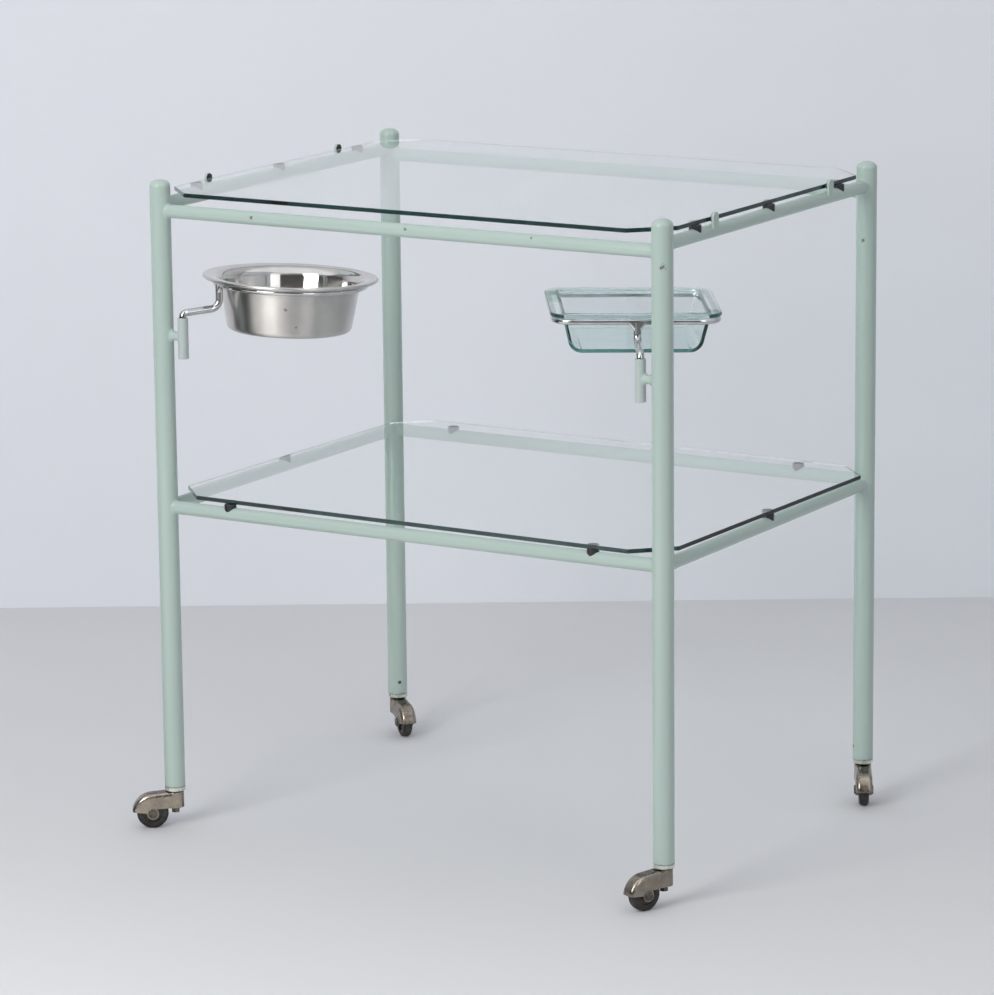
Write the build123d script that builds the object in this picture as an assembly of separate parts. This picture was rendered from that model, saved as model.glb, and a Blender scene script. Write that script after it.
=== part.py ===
from build123d import *
import os
from math import acos, asin, atan2, copysign, cos, degrees, hypot, radians, sin, tan

# Medical trolley: a painted tube frame on four castors, two loose glass shelves,
# a basin and a glass dish on swinging rod holders.
# Millimetres, floor at z = 0, X along the long side, front towards -Y, origin between the legs.

# Legs and rails
LEG_SPACING_X = 680.0
LEG_SPACING_Y = 514.0
LEG_OD = 25.0
LEG_WALL = 1.5
LEG_TOP = 798.0
CAP_DOME = 8.0
CAP_SIDE = 1.0
CAP_PLUG = 12.0
RAIL_OD = 16.0
RAIL_WALL = 1.5
WELD_FILLET = 3.0
POST_HEIGHT = 60.0
LOW_RAIL_Z = 400.5
SIDE_RAIL_BELOW_TOP = 30.0
CROSS_RAIL_DROP = 7.5

# Clearances
FIT_GAP = 0.05
RUN_GAP = 0.05
SEAT_GAP = 0.3

# Glass shelves
GLASS_T = 5.0
GLASS_OVERHANG_X = 2.0
GLASS_OVERHANG_Y = 10.0
GLASS_CORNER_CUT = 43.0
GLASS_EDGE = 0.6
LOW_GLASS_SHIFT_X = 5.0
LOW_GLASS_SHIFT_Y = 6.0
LOW_GLASS_TURN = -1.0

# Rubber pads under the glass
PAD_D = 14.5
PAD_RISE = 4.0
PAD_STEM_D = 5.0
PAD_STEM_LENGTH = 7.0
PAD_ROUND = 0.8
TOP_PAD_Y = 180.0
LOW_PAD_X = 249.0

# Stops at the sides of the top glass
STOP_Y = 145.0
STOP_WIDTH = 12.0
STOP_T = 3.0
STOP_RISE = 5.5
STOP_ROUND = 5.4
BUFFER_D = 8.0
BUFFER_T = 3.2

# Holder sockets on the front legs
SOCKET_OFFSET = 28.5
SOCKET_OD = 12.6
LEFT_SOCKET_BELOW_TOP = 165.0
RIGHT_SOCKET_BELOW_TOP = 161.5
SOCKET_LENGTH = 49.0
SOCKET_FLOOR = 4.0
STUB_D = 10.5
STUB_BELOW_TOP = 22.5
STUB_LEG_FILLET = 5.2
STUB_SOCKET_FILLET = 3.8

# Swinging arms
ARM_D = 9.0
BASIN_ARM_REACH = 46.5
DISH_ARM_REACH = 48.5
ARM_FIRST_BEND = 5.5
ARM_SECOND_BEND = 12.0
ARM_RISE = 3.0
BEND_ABOVE_SOCKET = 0.3
GUSSET_HALF_WIDTH = 9.5
GUSSET_HEIGHT = 6.5
GUSSET_T = 7.0
GUSSET_HOLLOW = 0.6
GUSSET_ROUND = 3.0
BASIN_ARM_ANGLE = 53.5
DISH_ARM_ANGLE = 122.8

# Basin and its ring
RING_OUTSIDE_BODY = 6.0
RING_ROD_D = 7.0
RING_ABOVE_SOCKET = 37.8
RING_ROOM = 1.2
RING_DROOP = 2.85
BASIN_SHEET = 1.2
BASIN_DEPTH = 63.0
BASIN_BODY_R = 85.0
BASIN_DRAFT = 10.5
BASIN_CORNER = 8.0
BASIN_LIP_ROOT = 12.0
BASIN_LIP_RISE = 1.8
BASIN_LIP_WIDTH = 20.7
BASIN_BEAD_R = 1.9

# Glass dish and its rod frame
DISH_FRAME_OUTSIDE_BODY = 9.5
DISH_FRAME_CORNER = 22.0
DISH_ROD_D = 7.0
DISH_FRAME_ABOVE_SOCKET = 33.8
DISH_LEAN = 0.8
DISH_FLANGE_WIDTH = 14.0
DISH_RIM_CORNER = 28.0
DISH_FLANGE_T = 4.5
DISH_BODY_SIDE = 168.0
DISH_DEPTH = 42.7
DISH_TAPER = 13.0
DISH_WALL = 4.0
DISH_BASE_ROUND = 16.0
DISH_END_ROUND = 6.0
DISH_EDGE = 1.6

# Castors
WHEEL_R = 19.3
WHEEL_W = 12.0
TREAD_ROUND = 3.2
HUB_R = 11.5
HUB_RECESS = 2.0
HUB_BOSS_R = 5.5
TRAIL = 28.0
AXLE_D = 5.0
AXLE_HEAD_D = 11.6
AXLE_HEAD_T = 1.8
AXLE_HEAD_ROUND = 1.4
CHEEK_GAP = 0.7
HUB_END_GAP = 0.2
HOOD_WHEEL_GAP = 1.8
HOOD_CROWN_T = 3.4
BARREL_OD = 21.0
BARREL_BOTTOM = 25.5
HOOD_TOP = 45.5
HOOD_BOSS_R = 7.2
HOOD_LIP_ANGLE = 5.0
HOOD_NECK_ANGLE = 130.0
HOOD_WIDTH = 20.4
HOOD_ROUND = 5.5
BARREL_ROUND = 1.2
KINGPIN_D = 6.0
KINGPIN_BELOW_NUT = 0.6
KINGPIN_IN_PLUG = 24.0
NUT_AF = 9.0
NUT_T = 6.5
NUT_GAP = 0.3
THRUST_WASHER_D = 17.0
THRUST_WASHER_T = 1.5
THRUST_GAP = 0.1
FERRULE_FLANGE_T = 4.0
FERRULE_PLUG = 30.0
GRUB_D = 4.5
GRUB_ABOVE_LEG_END = 17.0
GRUB_SINK = 0.5
GRUB_TIP = 5.0
GRUB_SLOT = 0.8

# Direction in which each castor trails, in degrees from +X
CASTOR_TRAILS = {
    "front_left": 216.0,
    "front_right": 244.0,
    "back_left": 319.0,
    "back_right": 299.0,
}

# Sizes that follow from the ones above
LEG_R = LEG_OD / 2
LEG_BORE_R = LEG_R - LEG_WALL
RAIL_R = RAIL_OD / 2
HALF_X = LEG_SPACING_X / 2
HALF_Y = LEG_SPACING_Y / 2
GLASS_X = LEG_SPACING_X + 2 * GLASS_OVERHANG_X
GLASS_Y = LEG_SPACING_Y + 2 * GLASS_OVERHANG_Y
TOP_SIDE_RAIL_Z = LEG_TOP - SIDE_RAIL_BELOW_TOP
TOP_CROSS_RAIL_Z = TOP_SIDE_RAIL_Z - CROSS_RAIL_DROP
LEFT_SOCKET_TOP = LEG_TOP - LEFT_SOCKET_BELOW_TOP
RIGHT_SOCKET_TOP = LEG_TOP - RIGHT_SOCKET_BELOW_TOP
TOP_GLASS_Z = TOP_SIDE_RAIL_Z + RAIL_R + PAD_RISE
LOW_GLASS_Z = LOW_RAIL_Z + RAIL_R + PAD_RISE
WASHER_Z = HOOD_TOP + THRUST_GAP
FERRULE_Z = WASHER_Z + THRUST_WASHER_T
LEG_BOTTOM = FERRULE_Z + FERRULE_FLANGE_T
CAP_SEAT = LEG_TOP - CAP_DOME
SOCKET_BORE_R = ARM_D / 2 + RUN_GAP
STEM_IN_SOCKET = SOCKET_LENGTH - SOCKET_FLOOR - SEAT_GAP
RUN_ABOVE_SOCKET = BEND_ABOVE_SOCKET + ARM_FIRST_BEND
RING_R = BASIN_BODY_R + RING_OUTSIDE_BODY
BASIN_FLOOR_R = BASIN_BODY_R - BASIN_DRAFT
BASIN_RIM_R = BASIN_BODY_R + BASIN_LIP_WIDTH
BASIN_LIP_Z = RING_ROD_D / 2 + SEAT_GAP + RING_ROOM
BASIN_BOTTOM = BASIN_LIP_Z - BASIN_DEPTH
DISH_FRAME_SIDE = DISH_BODY_SIDE + 2 * DISH_FRAME_OUTSIDE_BODY
DISH_RIM_SIDE = DISH_BODY_SIDE + 2 * DISH_FLANGE_WIDTH
DISH_FLANGE_Z = DISH_ROD_D / 2 + SEAT_GAP
BARREL_R = BARREL_OD / 2
SLOT_HALF_WIDTH = WHEEL_W / 2 + CHEEK_GAP
SLOT_R = WHEEL_R + HOOD_WHEEL_GAP
CROWN_R = SLOT_R + HOOD_CROWN_T

STAND = (Align.CENTER, Align.CENTER, Align.MIN)
CORNERS = {
    "front_left": (-HALF_X, -HALF_Y),
    "front_right": (HALF_X, -HALF_Y),
    "back_left": (-HALF_X, HALF_Y),
    "back_right": (HALF_X, HALF_Y),
}
SOCKETS = {
    "left": Pos(SOCKET_OFFSET - HALF_X, -HALF_Y, LEFT_SOCKET_TOP),
    "right": Pos(HALF_X - SOCKET_OFFSET, -HALF_Y, RIGHT_SOCKET_TOP),
}


def rod(radius, length):
    """A round bar that stands on z = 0."""
    return Cylinder(radius, length, align=STAND)


def bar_x(radius, length):
    """A round bar along X, centred on the origin."""
    return Rot(0, 90, 0) * Cylinder(radius, length)


def bar_y(radius, length):
    """A round bar along Y, centred on the origin."""
    return Rot(90, 0, 0) * Cylinder(radius, length)


def saddle_edges(shape):
    """The curved edges where two crossing bars meet."""
    plain = (GeomType.LINE, GeomType.CIRCLE)
    return [edge for edge in shape.edges() if edge.geom_type not in plain]


def inward_angle(corner):
    """Direction from a leg towards the middle of the trolley, on the diagonal."""
    x, y = CORNERS[corner]
    return degrees(atan2(copysign(1, -y), copysign(1, -x)))


def turned_to(corner, shape):
    """Turn a shape made along +X to a leg's inward diagonal and move it to that leg."""
    x, y = CORNERS[corner]
    return Pos(x, y, 0) * Rot(0, 0, inward_angle(corner)) * shape


# Frame

def leg(corner):
    """A leg tube with the hole for its grub screw."""
    length = CAP_SEAT - LEG_BOTTOM
    tube = rod(LEG_R, length) - rod(LEG_BORE_R, length)
    x, y = CORNERS[corner]
    return Pos(x, y, LEG_BOTTOM) * tube - turned_to(corner, grub_hole())


def leg_cap():
    """A domed cap with a plug that fits the tube."""
    crown_rise = CAP_DOME - CAP_SIDE
    crown_r = (LEG_R ** 2 + crown_rise ** 2) / (2 * crown_rise)
    half_way = asin(LEG_R / crown_r) / 2
    middle = (crown_r * sin(half_way), CAP_DOME - crown_r * (1 - cos(half_way)))
    outline = Polyline((0, CAP_DOME), (0, 0), (LEG_R, 0), (LEG_R, CAP_SIDE))
    outline += ThreePointArc((LEG_R, CAP_SIDE), middle, (0, CAP_DOME))
    dome = revolve(Plane.XZ * make_face(outline), Axis.Z)
    return dome + Pos(0, 0, -CAP_PLUG) * rod(LEG_BORE_R - FIT_GAP, CAP_PLUG)


def rail(spacing, pad_places):
    """A rail along X between two legs, with flared weld ends and pad holes."""
    posts = Pos(-spacing / 2, 0, 0) * Cylinder(LEG_R, POST_HEIGHT)
    posts += Pos(spacing / 2, 0, 0) * Cylinder(LEG_R, POST_HEIGHT)
    welded = posts + bar_x(RAIL_R, spacing)
    welded = fillet(saddle_edges(welded), WELD_FILLET)
    body = welded - posts - bar_x(RAIL_R - RAIL_WALL, spacing)
    for place in pad_places:
        body -= Pos(place, 0, 0) * rod(PAD_STEM_D / 2 + FIT_GAP, RAIL_OD)
    return body


def rail_pad():
    """A round rubber pad over a rail along X, with a stem in the rail."""
    head = rod(PAD_D / 2, RAIL_R + PAD_RISE)
    head = fillet(head.edges().sort_by(Axis.Z)[-1], PAD_ROUND)
    head -= bar_x(RAIL_R, 2 * PAD_D)
    stem = rod(PAD_STEM_D / 2, PAD_STEM_LENGTH + PAD_RISE / 2)
    return head + Pos(0, 0, RAIL_R - PAD_STEM_LENGTH) * stem


def stop_lug():
    """A flat lug on the outer side of a rail along Y, seen from the rail axis."""
    inner_face = GLASS_X / 2 + SEAT_GAP + BUFFER_T - HALF_X
    height = RAIL_R + PAD_RISE + GLASS_T + STOP_RISE
    plate = Pos(inner_face + STOP_T / 2, 0, height / 2) * Box(STOP_T, STOP_WIDTH, height)
    top_corners = plate.edges().filter_by(Axis.X).group_by(Axis.Z)[-1]
    plate = fillet(top_corners, STOP_ROUND)
    return plate - bar_y(RAIL_R, 2 * STOP_WIDTH)


def stop_buffer():
    """A rubber button between a lug and the edge of the glass."""
    glass_edge = GLASS_X / 2 + SEAT_GAP - HALF_X
    glass_middle = RAIL_R + PAD_RISE + GLASS_T / 2
    button = Pos(glass_edge + BUFFER_T / 2, 0, glass_middle) * bar_x(BUFFER_D / 2, BUFFER_T)
    inner_rim = button.edges().filter_by(GeomType.CIRCLE).sort_by(Axis.X)[0]
    return fillet(inner_rim, PAD_ROUND)


def socket():
    """A short tube with a closed bottom, below z = 0, that takes an arm's stem."""
    outer = Pos(0, 0, -SOCKET_LENGTH) * rod(SOCKET_OD / 2, SOCKET_LENGTH)
    bore = Pos(0, 0, SOCKET_FLOOR - SOCKET_LENGTH) * rod(SOCKET_BORE_R, SOCKET_LENGTH)
    return outer - bore


def socket_stub():
    """The stud from a socket whose mouth is at the origin to a leg in the -X direction."""
    posts = Pos(-SOCKET_OFFSET, 0, 0) * Cylinder(LEG_R, POST_HEIGHT)
    posts += Cylinder(SOCKET_OD / 2, POST_HEIGHT)
    middle = (LEG_R - SOCKET_OFFSET - SOCKET_OD / 2) / 2
    welded = posts + Pos(-SOCKET_OFFSET / 2, 0, 0) * bar_x(STUB_D / 2, SOCKET_OFFSET)
    seams = ((1, STUB_SOCKET_FILLET), (-1, STUB_LEG_FILLET))
    for side, radius in seams:
        seam = [edge for edge in saddle_edges(welded) if side * (edge.center().X - middle) > 0]
        welded = fillet(seam, radius)
    return Pos(0, 0, -STUB_BELOW_TOP) * (welded - posts)


# Glass shelves

def glass_pane():
    """A pane with clipped corners and ground edges, lying on z = 0."""
    outline = chamfer(Rectangle(GLASS_X, GLASS_Y).vertices(), GLASS_CORNER_CUT)
    pane = extrude(outline, GLASS_T)
    rims = pane.edges().filter_by(Axis.Z, reverse=True)
    return chamfer(rims, GLASS_EDGE)


# Swinging holders, made with the arm along +X from a socket whose mouth is at the origin

def arm(reach, top_z):
    """A bent rod: stem in the socket, a short run, and an upright to the holder."""
    path = FilletPolyline(
        (0, 0, -STEM_IN_SOCKET),
        (0, 0, RUN_ABOVE_SOCKET),
        (reach, 0, RUN_ABOVE_SOCKET + ARM_RISE),
        (reach, 0, top_z),
        radius=[ARM_FIRST_BEND, ARM_SECOND_BEND],
    )
    return sweep(Plane(path @ 0, z_dir=path % 0) * Circle(ARM_D / 2), path)


def gusset(reach, top_z, rod_d):
    """The flared braze between an arm's upright and the rod above it."""
    neck = ARM_D / 2
    high = top_z - rod_d / 2
    low = high - GUSSET_HEIGHT
    waist = ((neck + GUSSET_HALF_WIDTH) / 2 - GUSSET_HOLLOW, (low + high) / 2)
    side = ThreePointArc((neck, low), waist, (GUSSET_HALF_WIDTH, high))
    side += Polyline((GUSSET_HALF_WIDTH, high), (GUSSET_HALF_WIDTH, top_z), (0, top_z))
    half = make_face(side + Polyline((0, top_z), (0, low), (neck, low)))
    plate = extrude(Plane.YZ * (half + mirror(half, Plane.YZ)), GUSSET_T / 2, both=True)
    flanks = plate.edges().filter_by(GeomType.CIRCLE)
    return Pos(reach, 0, 0) * fillet(flanks, GUSSET_ROUND)


def basin_seat():
    """The place of the ring's centre, drooping away from the arm."""
    arm_top = Pos(BASIN_ARM_REACH, 0, RING_ABOVE_SOCKET)
    return arm_top * Rot(0, RING_DROOP, 0) * Pos(RING_R, 0, 0)


def basin_ring():
    """The rod ring that carries the basin."""
    return basin_seat() * Torus(RING_R, RING_ROD_D / 2)


def basin_arm():
    """The basin's arm, coped to the ring."""
    upright = arm(BASIN_ARM_REACH, RING_ABOVE_SOCKET)
    upright += gusset(BASIN_ARM_REACH, RING_ABOVE_SOCKET, RING_ROD_D)
    return upright - basin_ring()


def basin():
    """A round spun basin with a wide lip and a rolled bead, about the ring's axis."""
    bead_centre = BASIN_RIM_R - BASIN_BEAD_R
    bead_z = BASIN_LIP_Z + BASIN_LIP_RISE + BASIN_SHEET - BASIN_BEAD_R
    underside = FilletPolyline(
        (0, BASIN_BOTTOM),
        (BASIN_FLOOR_R, BASIN_BOTTOM),
        (BASIN_BODY_R, BASIN_LIP_Z),
        (bead_centre, BASIN_LIP_Z + BASIN_LIP_RISE),
        radius=[BASIN_CORNER, BASIN_LIP_ROOT],
    )
    section = make_face(offset(underside, amount=BASIN_SHEET, side=Side.LEFT))
    sheet = revolve(Plane.XZ * section, Axis.Z)
    return sheet + Pos(0, 0, bead_z) * Torus(bead_centre, BASIN_BEAD_R)


def dish_seat():
    """The place of the frame's centre, leaning a little to one side."""
    arm_top = Pos(DISH_ARM_REACH, 0, DISH_FRAME_ABOVE_SOCKET)
    return arm_top * Rot(DISH_LEAN, 0, 0) * Pos(DISH_FRAME_SIDE / 2, 0, 0)


def dish_frame():
    """The rod frame that carries the dish."""
    path = RectangleRounded(DISH_FRAME_SIDE, DISH_FRAME_SIDE, DISH_FRAME_CORNER).wire()
    bent = sweep(Plane(path @ 0, z_dir=path % 0) * Circle(DISH_ROD_D / 2), path)
    return dish_seat() * bent


def dish_arm():
    """The dish's arm, coped to the frame's near bar."""
    upright = arm(DISH_ARM_REACH, DISH_FRAME_ABOVE_SOCKET)
    upright += gusset(DISH_ARM_REACH, DISH_FRAME_ABOVE_SOCKET, DISH_ROD_D)
    return upright - dish_frame()


def tapered_cup(side, depth, base_round, end_round):
    """A square block that hangs below z = 0 and tapers, with two wide base bends and rounded ends."""
    block = extrude(Rectangle(side, side), depth, dir=(0, 0, -1), taper=DISH_TAPER)
    bends = block.edges().filter_by(Axis.X).group_by(Axis.Z)[0]
    block = fillet(bends, base_round)
    ends = block.faces().sort_by(Axis.X)
    for end in (ends[0], ends[-1]):
        outline = end.edges().sort_by(Axis.Z)[:-1]
        block = fillet(outline, end_round)
    return block


def dish():
    """A moulded glass dish with a flat flange whose underside is on z = 0."""
    mouth = DISH_FLANGE_T * tan(radians(DISH_TAPER)) - DISH_WALL
    flange = extrude(RectangleRounded(DISH_RIM_SIDE, DISH_RIM_SIDE, DISH_RIM_CORNER), DISH_FLANGE_T)
    body = tapered_cup(DISH_BODY_SIDE, DISH_DEPTH, DISH_BASE_ROUND, DISH_END_ROUND)
    hollow = tapered_cup(
        DISH_BODY_SIDE + 2 * mouth,
        DISH_FLANGE_T + DISH_DEPTH - DISH_WALL,
        DISH_BASE_ROUND - DISH_WALL,
        DISH_END_ROUND - DISH_WALL,
    )
    glass = flange + body - Pos(0, 0, DISH_FLANGE_T) * hollow
    rims = [edge for edge in glass.edges() if abs(edge.center().Z - DISH_FLANGE_T) < FIT_GAP]
    rims += [edge for edge in glass.edges() if abs(edge.center().Z) < FIT_GAP]
    return fillet(rims, DISH_EDGE)


# Castors, made with the leg axis on Z and the wheel trailing towards +X

def ferrule():
    """The plug in a leg's lower end, with the flange that shows below the tube."""
    flange = Pos(0, 0, FERRULE_Z) * rod(LEG_R, FERRULE_FLANGE_T)
    plug = Pos(0, 0, LEG_BOTTOM) * rod(LEG_BORE_R - FIT_GAP, FERRULE_PLUG)
    bore = Pos(0, 0, FERRULE_Z) * rod(KINGPIN_D / 2 + FIT_GAP, FERRULE_FLANGE_T + FERRULE_PLUG)
    return flange + plug - bore


def grub_hole():
    """The tapped hole for a grub screw, from the leg's skin inwards along X."""
    depth = LEG_R - GRUB_TIP
    height = LEG_BOTTOM + GRUB_ABOVE_LEG_END
    return Pos(GRUB_TIP + depth / 2, 0, height) * bar_x(GRUB_D / 2 + FIT_GAP, depth)


def grub_screw():
    """A slotted screw, just below the skin of the leg."""
    length = LEG_R - GRUB_SINK - GRUB_TIP
    height = LEG_BOTTOM + GRUB_ABOVE_LEG_END
    screw = Pos(GRUB_TIP + length / 2, 0, height) * bar_x(GRUB_D / 2, length)
    slot = Pos(LEG_R - GRUB_SINK, 0, height) * Box(2 * GRUB_SLOT, GRUB_SLOT, GRUB_D * 2)
    return screw - slot


def kingpin():
    """The fixed pin that the hood turns on."""
    bottom = BARREL_BOTTOM - NUT_GAP - NUT_T - KINGPIN_BELOW_NUT
    return Pos(0, 0, bottom) * rod(KINGPIN_D / 2, FERRULE_Z + KINGPIN_IN_PLUG - bottom)


def kingpin_nut():
    """The nut that keeps the hood on its pin."""
    hexagon = RegularPolygon(NUT_AF / 2, 6, major_radius=False) - Circle(KINGPIN_D / 2 + FIT_GAP)
    return Pos(0, 0, BARREL_BOTTOM - NUT_GAP - NUT_T) * extrude(hexagon, NUT_T)


def thrust_washer():
    """The washer between ferrule and hood."""
    ring = Circle(THRUST_WASHER_D / 2) - Circle(KINGPIN_D / 2 + FIT_GAP)
    return Pos(0, 0, WASHER_Z) * extrude(ring, THRUST_WASHER_T)


def about_axle(radius, angle):
    """A point in the hood's side view, at a distance and angle from the axle."""
    return (TRAIL + radius * cos(radians(angle)), WHEEL_R + radius * sin(radians(angle)))


def hood_bridge():
    """The sloping block from the barrel to the crown over the wheel, with rounded top edges."""
    brow = (BARREL_R, HOOD_TOP)
    away_x = brow[0] - TRAIL
    away_z = brow[1] - WHEEL_R
    tangent_angle = degrees(atan2(away_z, away_x) - acos(CROWN_R / hypot(away_x, away_z)))
    crown_start = about_axle(CROWN_R, tangent_angle)
    outline = Polyline(
        (0, BARREL_BOTTOM),
        (0, HOOD_TOP),
        brow,
        crown_start,
        about_axle(0, 0),
        about_axle(HOOD_BOSS_R, HOOD_NECK_ANGLE),
        (BARREL_R, BARREL_BOTTOM),
        close=True,
    )
    block = extrude(Plane.XZ * make_face(outline), HOOD_WIDTH / 2, both=True)
    long_edges = block.edges().filter_by(Axis.Y, reverse=True)
    return fillet([edge for edge in long_edges if edge.center().Z > crown_start[1]], HOOD_ROUND)


def hood_crown():
    """The part of the hood that wraps round the wheel, with the same rounded edges."""
    half_section = Pos(CROWN_R / 2, 0) * Rectangle(CROWN_R, HOOD_WIDTH)
    half_section = fillet(half_section.vertices().group_by(Axis.X)[-1], HOOD_ROUND)
    sector = revolve(half_section, Axis((0, 0, 0), (0, -1, 0)), HOOD_NECK_ANGLE - HOOD_LIP_ANGLE)
    return Pos(TRAIL, 0, WHEEL_R) * Rot(0, -HOOD_LIP_ANGLE, 0) * sector


def castor_hood():
    """The cast hood: it turns on the kingpin and covers the wheel."""
    barrel = Pos(0, 0, BARREL_BOTTOM) * rod(BARREL_R, HOOD_TOP - BARREL_BOTTOM)
    barrel = fillet(barrel.edges().sort_by(Axis.Z)[-1], BARREL_ROUND)
    boss = Pos(TRAIL, 0, WHEEL_R) * bar_y(HOOD_BOSS_R, HOOD_WIDTH)
    body = barrel + hood_bridge() + hood_crown() + boss
    wheel_room = Circle(SLOT_R) + Pos(0, -SLOT_R) * Rectangle(2 * SLOT_R, 2 * SLOT_R)
    body -= Pos(TRAIL, 0, WHEEL_R) * extrude(Plane.XZ * wheel_room, SLOT_HALF_WIDTH, both=True)
    body -= rod(KINGPIN_D / 2 + RUN_GAP, HOOD_TOP)
    return body - Pos(TRAIL, 0, WHEEL_R) * bar_y(AXLE_D / 2 + FIT_GAP, 2 * BARREL_OD)


def axle():
    """The riveted wheel axle with its two heads."""
    pin = bar_y(AXLE_D / 2, HOOD_WIDTH)
    for turn in (0, 180):
        head = bar_y(AXLE_HEAD_D / 2, AXLE_HEAD_T)
        rim = head.edges().filter_by(GeomType.CIRCLE).sort_by(Axis.Y)[-1]
        head = fillet(rim, AXLE_HEAD_ROUND)
        pin += Rot(0, 0, turn) * Pos(0, (HOOD_WIDTH + AXLE_HEAD_T) / 2, 0) * head
    return Pos(TRAIL, 0, WHEEL_R) * pin


def tyre():
    """A solid tyre with a rounded tread."""
    ring = bar_y(WHEEL_R, WHEEL_W) - bar_y(HUB_R, WHEEL_W)
    circles = ring.edges().filter_by(GeomType.CIRCLE)
    shoulders = [edge for edge in circles if edge.radius > HUB_R + FIT_GAP]
    return Pos(TRAIL, 0, WHEEL_R) * fillet(shoulders, TREAD_ROUND)


def wheel_hub():
    """A wheel centre with recessed sides and a bored boss."""
    boss_length = 2 * (SLOT_HALF_WIDTH - HUB_END_GAP)
    web = bar_y(HUB_R - FIT_GAP, WHEEL_W - 2 * HUB_RECESS)
    body = web + bar_y(HUB_BOSS_R, boss_length)
    return Pos(TRAIL, 0, WHEEL_R) * (body - bar_y(AXLE_D / 2 + RUN_GAP, 2 * boss_length))


# Putting it together

PARTS = {}


def group(shapes):
    """Several separate solids in one sub-part."""
    return Compound(list(shapes))


def build_frame():
    """Legs, caps, rails, pads, stops and sockets."""
    for corner in CORNERS:
        PARTS["leg_" + corner] = leg(corner)
    PARTS["leg_end_caps"] = group(Pos(x, y, CAP_SEAT) * leg_cap() for x, y in CORNERS.values())
    bare_cross_rail = rail(LEG_SPACING_X, [])
    low_cross_rail = rail(LEG_SPACING_X, [-LOW_PAD_X, LOW_PAD_X])
    top_side_rail = Rot(0, 0, 90) * rail(LEG_SPACING_Y, [-TOP_PAD_Y, 0, TOP_PAD_Y])
    low_side_rail = Rot(0, 0, 90) * rail(LEG_SPACING_Y, [0])
    for name, y in (("front", -HALF_Y), ("back", HALF_Y)):
        PARTS["top_rail_" + name] = Pos(0, y, TOP_CROSS_RAIL_Z) * bare_cross_rail
        PARTS["low_rail_" + name] = Pos(0, y, LOW_RAIL_Z) * low_cross_rail
    for name, x in (("left", -HALF_X), ("right", HALF_X)):
        PARTS["top_rail_" + name] = Pos(x, 0, TOP_SIDE_RAIL_Z) * top_side_rail
        PARTS["low_rail_" + name] = Pos(x, 0, LOW_RAIL_Z) * low_side_rail
    cross_pad = rail_pad()
    side_pad = Rot(0, 0, 90) * rail_pad()
    PARTS["top_glass_pads"] = group(
        Pos(x, y, TOP_SIDE_RAIL_Z) * side_pad
        for x in (-HALF_X, HALF_X) for y in (-TOP_PAD_Y, 0, TOP_PAD_Y)
    )
    low_pads = [Pos(x, 0, LOW_RAIL_Z) * side_pad for x in (-HALF_X, HALF_X)]
    for y in (-HALF_Y, HALF_Y):
        low_pads += [Pos(x, y, LOW_RAIL_Z) * cross_pad for x in (-LOW_PAD_X, LOW_PAD_X)]
    PARTS["low_glass_pads"] = group(low_pads)
    stop_places = [(HALF_X, 0), (-HALF_X, 180)]
    for name, shape in (("glass_stops", stop_lug()), ("stop_buffers", stop_buffer())):
        PARTS[name] = group(
            Pos(x, y, TOP_SIDE_RAIL_Z) * Rot(0, 0, turn) * shape
            for x, turn in stop_places for y in (-STOP_Y, STOP_Y)
        )
    PARTS["socket_stubs"] = group([
        SOCKETS["left"] * socket_stub(),
        SOCKETS["right"] * Rot(0, 0, 180) * socket_stub(),
    ])
    for name, place in SOCKETS.items():
        PARTS["holder_socket_" + name] = place * socket()


def build_shelves():
    """The two loose glass panes."""
    PARTS["top_glass"] = Pos(0, 0, TOP_GLASS_Z) * glass_pane()
    low_place = Pos(LOW_GLASS_SHIFT_X, LOW_GLASS_SHIFT_Y, LOW_GLASS_Z) * Rot(0, 0, LOW_GLASS_TURN)
    PARTS["low_glass"] = low_place * glass_pane()


def build_holders():
    """Basin and dish, each on its swinging arm."""
    basin_place = SOCKETS["left"] * Rot(0, 0, BASIN_ARM_ANGLE)
    PARTS["basin_arm"] = basin_place * basin_arm()
    PARTS["basin_ring"] = basin_place * basin_ring()
    PARTS["basin"] = basin_place * basin_seat() * basin()
    dish_place = SOCKETS["right"] * Rot(0, 0, DISH_ARM_ANGLE)
    PARTS["dish_arm"] = dish_place * dish_arm()
    PARTS["dish_frame"] = dish_place * dish_frame()
    PARTS["dish"] = dish_place * dish_seat() * Pos(0, 0, DISH_FLANGE_Z) * dish()


def build_castors():
    """Fixed castor pieces in groups, swivelling and rolling pieces one by one."""
    fixed = {"kingpins": kingpin(), "kingpin_nuts": kingpin_nut(), "thrust_washers": thrust_washer()}
    for name, shape in fixed.items():
        PARTS[name] = group(Pos(x, y, 0) * shape for x, y in CORNERS.values())
    PARTS["castor_ferrules"] = group(turned_to(corner, ferrule() - grub_hole()) for corner in CORNERS)
    PARTS["grub_screws"] = group(turned_to(corner, grub_screw()) for corner in CORNERS)
    turning = {
        "castor_hood_": castor_hood(),
        "wheel_axle_": axle(),
        "wheel_hub_": wheel_hub(),
        "tyre_": tyre(),
    }
    for corner, (x, y) in CORNERS.items():
        place = Pos(x, y, 0) * Rot(0, 0, CASTOR_TRAILS[corner])
        for name, shape in turning.items():
            PARTS[name + corner] = place * shape


build_frame()
build_shelves()
build_holders()
build_castors()
os.makedirs("parts", exist_ok=True)
for part_name, part_shape in PARTS.items():
    export_step(part_shape, f"parts/{part_name}.step")
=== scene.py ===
"""Finishes, stage and camera of the medical trolley, over its CAD frame."""

import math

import bpy
from mathutils import Matrix, Vector


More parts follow.
